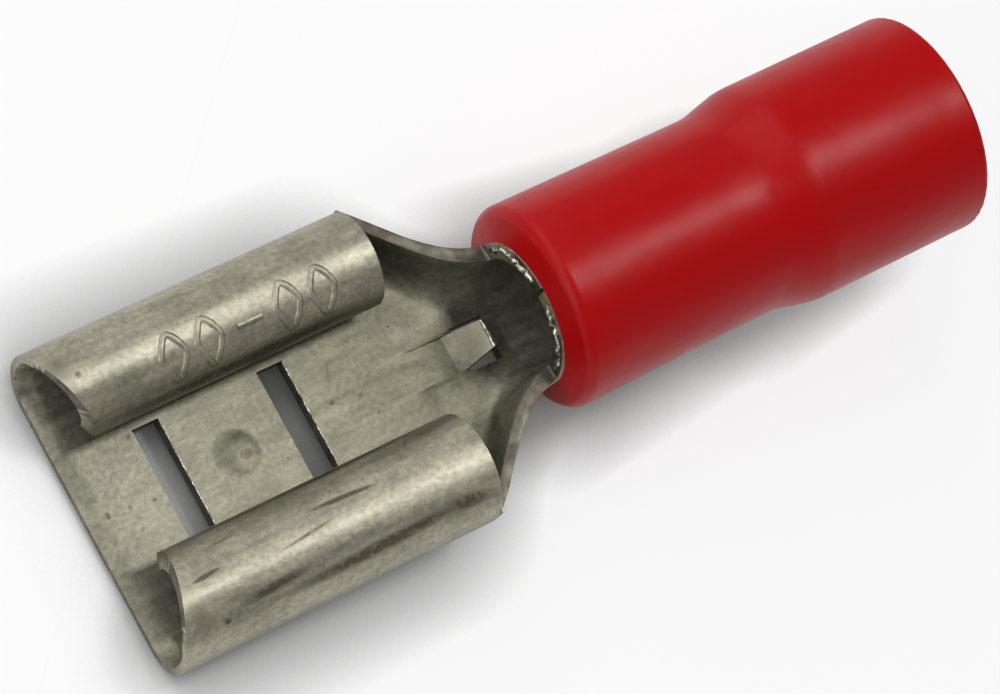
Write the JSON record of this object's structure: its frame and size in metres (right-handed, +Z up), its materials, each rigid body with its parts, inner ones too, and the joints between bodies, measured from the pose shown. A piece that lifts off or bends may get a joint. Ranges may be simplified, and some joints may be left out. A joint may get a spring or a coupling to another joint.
{
  "type": "female spade terminal",
  "caption": "Insulated female spade terminal: a rolled tab receptacle, a lanced stop and a crimp barrel in a flared red sleeve.",
  "frame": {"origin": "middle of the tab slot's mouth: on the centre plane, at the mouth edge, half way up the tab", "axes": "+X from the mouth to the wire end, +Z up, away from the receptacle's floor, +Y to the left of +X"},
  "size_m": [0.0216, 0.0074, 0.0054],
  "materials": {
    "tinned_brass": "dull tin plate over brass sheet",
    "red_vinyl": "satin moulded vinyl"
  },
  "bodies": {
    "root": {"terminal_body": "tinned_brass", "insulating_sleeve": "red_vinyl"}
  },
  "joints": []
}
